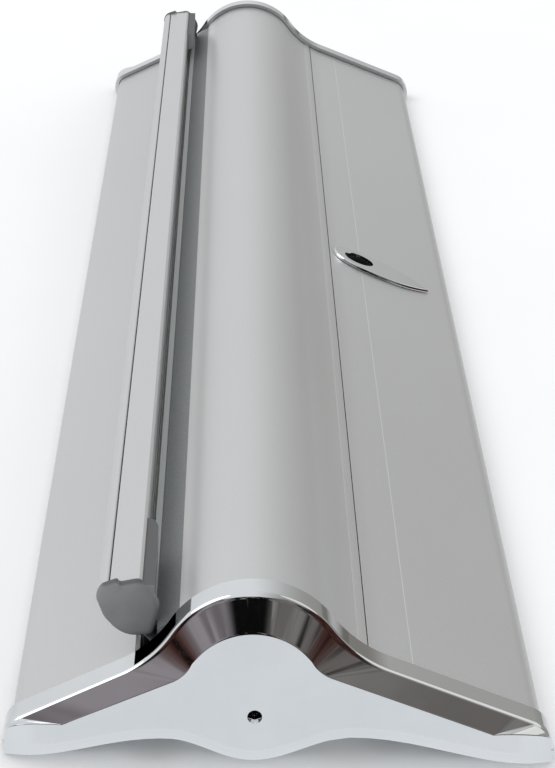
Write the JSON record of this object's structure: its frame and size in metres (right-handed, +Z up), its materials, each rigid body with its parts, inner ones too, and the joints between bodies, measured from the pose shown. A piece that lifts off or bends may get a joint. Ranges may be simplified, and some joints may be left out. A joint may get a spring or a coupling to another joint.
{
  "type": "roll-up banner stand",
  "caption": "Low winged aluminium cassette with chrome end caps, spring roller and wound banner, clamp rail, pole socket and clipped-in pole sections.",
  "frame": {"origin": "middle of the footprint, on the floor; the barrel's middle plane is at y = -0.0092", "axes": "+X along the cassette towards the end with the spring axle, +Y towards the rear wing with the pole socket, +Z up"},
  "size_m": [0.89, 0.1867, 0.0609],
  "materials": {
    "satin_aluminium": "satin anodised, fine lengthwise extrusion grain",
    "chrome": "bright chrome plating on moulded caps",
    "grey_plastic": "fine moulded texture, mid grey",
    "black_plastic": "matte",
    "white_plastic": "semi-matte acetal",
    "zinc_steel": "zinc plated",
    "spring_steel": "oiled dark spring wire",
    "rubber": "matte",
    "felt": "dark wool felt",
    "film": "blank satin banner film"
  },
  "bodies": {
    "base": {"banner_film_inside": "film", "barrel_housing": "satin_aluminium", "bearing_plate_left": "zinc_steel", "bearing_plate_right": "zinc_steel", "end_cap_left": "chrome", "end_cap_right": "chrome", "floor_pad_front_left": "rubber", "floor_pad_front_right": "rubber", "floor_pad_rear_left": "rubber", "floor_pad_rear_right": "rubber", "front_wing": "satin_aluminium", "idler_bush": "white_plastic", "plate_screw_left_1": "zinc_steel", "plate_screw_left_2": "zinc_steel", "plate_screw_left_3": "zinc_steel", "plate_screw_left_4": "zinc_steel", "plate_screw_left_5": "zinc_steel", "plate_screw_right_1": "zinc_steel", "plate_screw_right_2": "zinc_steel", "plate_screw_right_3": "zinc_steel", "plate_screw_right_4": "zinc_steel", "plate_screw_right_5": "zinc_steel", "pole_clip_front_left": "black_plastic", "pole_clip_front_right": "black_plastic", "pole_clip_rear_left": "black_plastic", "pole_clip_rear_right": "black_plastic", "pole_escutcheon": "chrome", "pole_socket": "black_plastic", "rear_wing": "satin_aluminium", "slot_felt": "felt"},
    "roller": {"roller_tube": "satin_aluminium", "banner_roll": "film", "idler_plug": "black_plastic", "spring_plug": "black_plastic"},
    "spring_tension": {"spring_axle": "zinc_steel", "torsion_spring": "spring_steel", "spring_anchor": "white_plastic"},
    "top_rail": {"rail_body": "satin_aluminium", "banner_film": "film", "rail_cap_left": "grey_plastic", "rail_cap_right": "grey_plastic"},
    "rail_clamp": {"rail_jaw": "satin_aluminium"},
    "pole_lower_section": {"pole_lower": "satin_aluminium", "pole_foot": "black_plastic", "pole_ferrule_lower": "zinc_steel"},
    "pole_middle_section": {"pole_middle": "satin_aluminium", "pole_ferrule_middle": "zinc_steel"},
    "pole_upper_section": {"pole_upper": "satin_aluminium", "pole_hook": "grey_plastic"}
  },
  "joints": [
    {"name": "rail_lift", "type": "slide", "parent": "base", "child": "top_rail", "axis": [0, 0, 1], "range_m": [0, 2], "deforming": ["banner_film"]},
    {"name": "rail_clamp_open", "type": "hinge", "parent": "top_rail", "child": "rail_clamp", "pos_m": [0, -0.0587, 0.055], "axis": [-1, 0, 0], "range_deg": [0, 35]},
    {"name": "roller_spin", "type": "hinge", "parent": "base", "child": "roller", "pos_m": [0, -0.0084, 0.0186], "axis": [-1, 0, 0], "range_deg": [0, 9000]},
    {"name": "tension_turn", "type": "hinge", "parent": "base", "child": "spring_tension", "pos_m": [0, -0.0084, 0.0186], "axis": [1, 0, 0], "range_deg": [0, 3600]},
    {"name": "pole_lower_unclip", "type": "slide", "parent": "base", "child": "pole_lower_section", "axis": [0, 0, -1], "range_m": [0, 0.04]},
    {"name": "pole_middle_unclip", "type": "slide", "parent": "base", "child": "pole_middle_section", "axis": [0, 0, -1], "range_m": [0, 0.04]},
    {"name": "pole_upper_unclip", "type": "slide", "parent": "base", "child": "pole_upper_section", "axis": [0, 0, -1], "range_m": [0, 0.04]}
  ],
  "couplings": [
    {"joint": "roller_spin", "follows": "rail_lift", "rad_per_m": 77}
  ]
}
